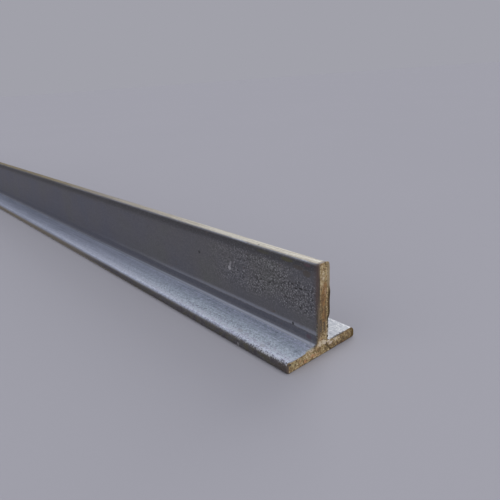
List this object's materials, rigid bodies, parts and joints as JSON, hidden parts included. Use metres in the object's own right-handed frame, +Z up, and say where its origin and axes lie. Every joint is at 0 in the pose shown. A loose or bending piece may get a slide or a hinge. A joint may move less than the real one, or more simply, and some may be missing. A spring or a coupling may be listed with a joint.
{
  "type": "steel tee section",
  "caption": "Equal hot-rolled steel tee bar, a cut length with a parallel flange and stem, small root radii, rounded toes and rusted saw-cut ends.",
  "frame": {"origin": "middle of the underside of the flange: half way along the bar, below the stem", "axes": "+X along the bar towards the cut end seen in the picture, +Z up the stem, +Y across the flange"},
  "size_m": [1, 0.04, 0.04],
  "materials": {
    "rolled_steel": "hot-rolled, dark mill scale on the stem, rubbed bright on the flange and stem tip, light rust on the cut ends"
  },
  "bodies": {
    "root": {"tee_section": "rolled_steel"}
  },
  "joints": []
}
